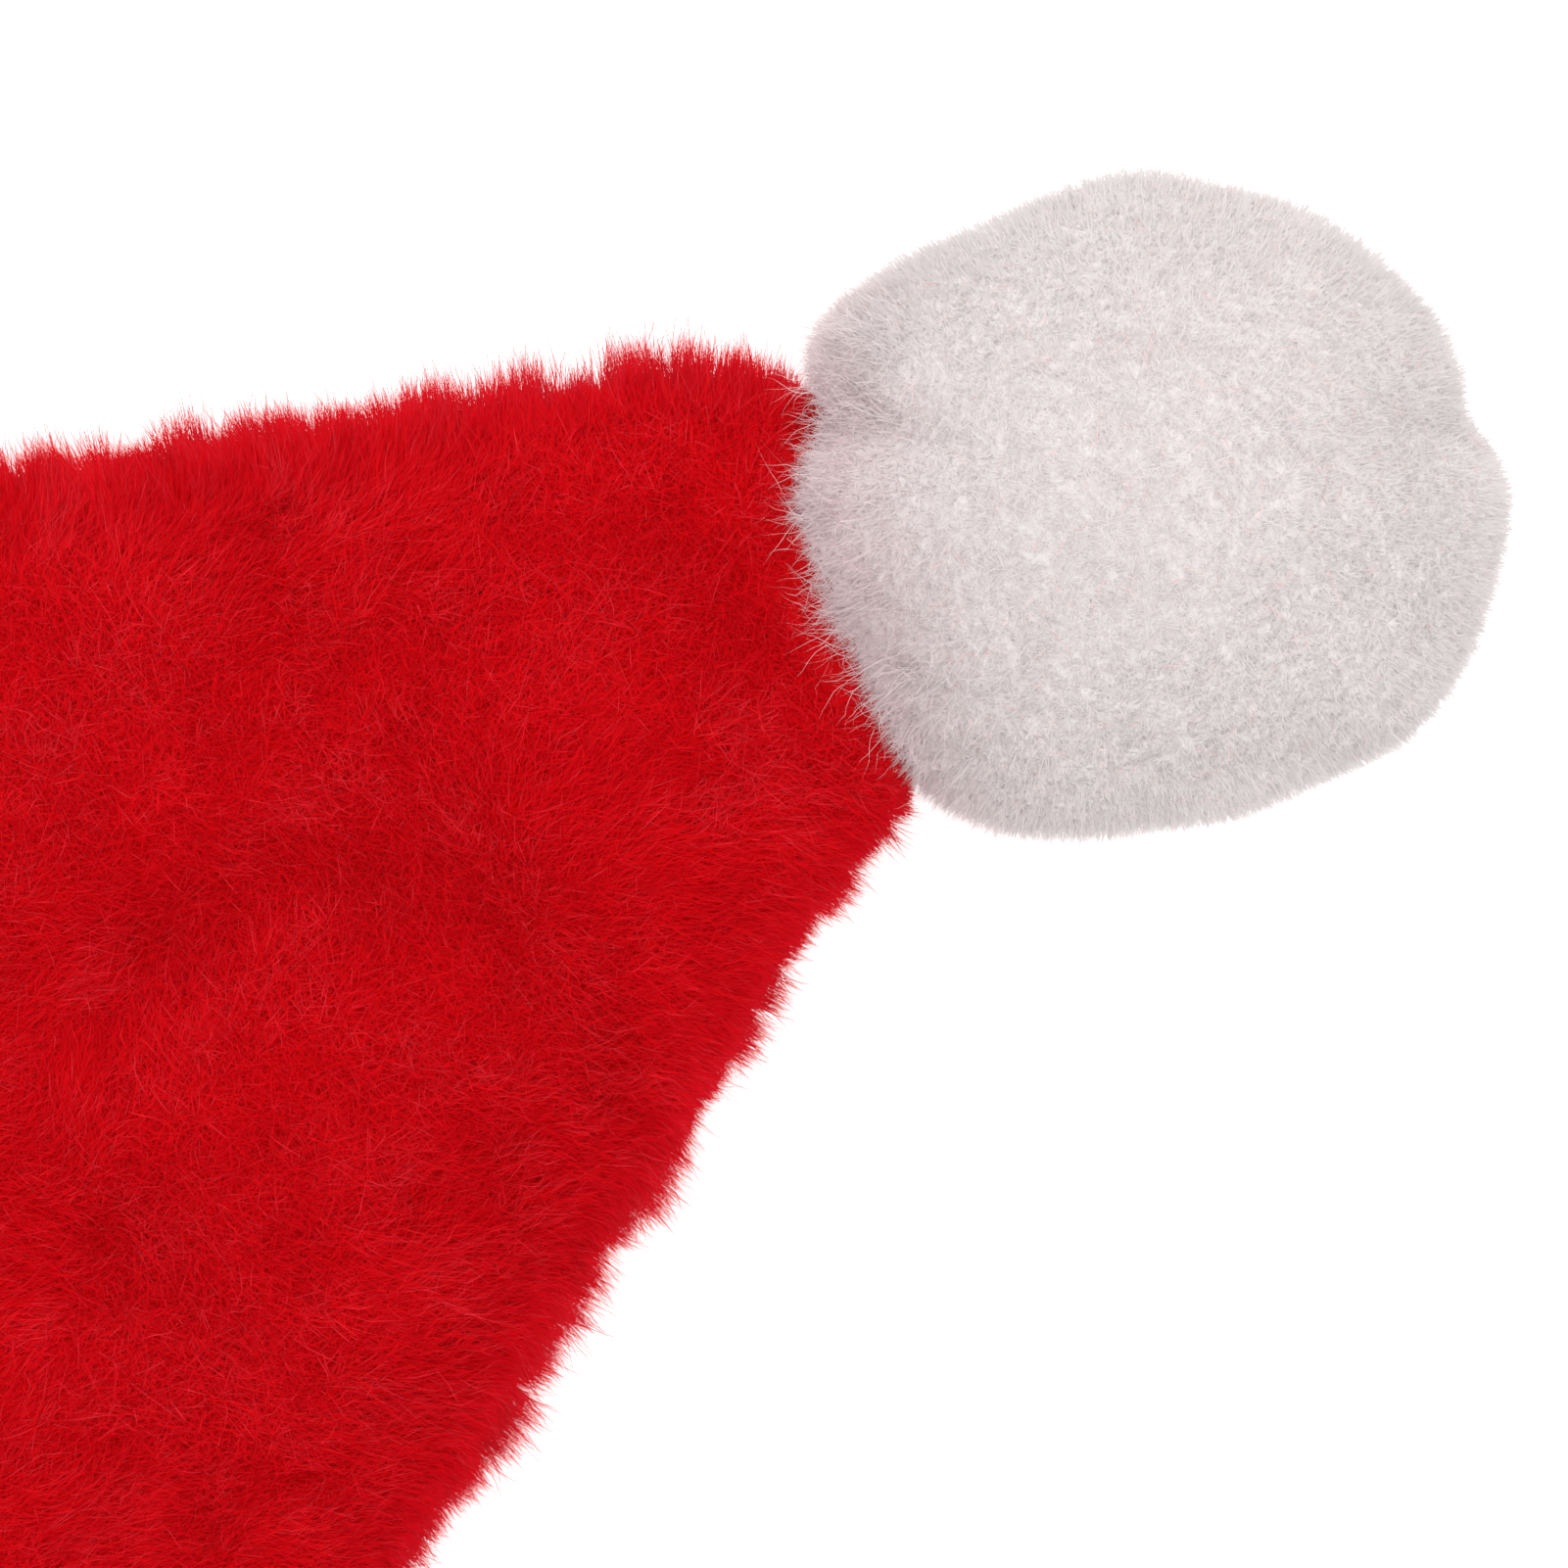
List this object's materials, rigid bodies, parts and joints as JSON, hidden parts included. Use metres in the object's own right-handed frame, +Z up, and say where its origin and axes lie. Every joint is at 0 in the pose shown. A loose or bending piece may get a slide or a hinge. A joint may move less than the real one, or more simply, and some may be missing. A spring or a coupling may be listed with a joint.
{
  "type": "plush santa hat",
  "caption": "Plush cone-shaped santa hat lying on its side, with a red crown, a thick white band round its open mouth and a white pompom on its tip.",
  "frame": {"origin": "middle of the footprint, on the surface that the hat lies on", "axes": "+Y from the mouth towards the pompom, +Z up from the surface, +X to the right when looking along +Y"},
  "size_m": [0.2691, 0.4055, 0.1024],
  "materials": {
    "red_plush": "deep plush pile, bright red",
    "white_plush": "deep plush pile, white",
    "white_pompom": "dense fluffy pile, white"
  },
  "bodies": {
    "root": {"crown": "red_plush", "band": "white_plush", "pompom": "white_pompom"}
  },
  "joints": []
}
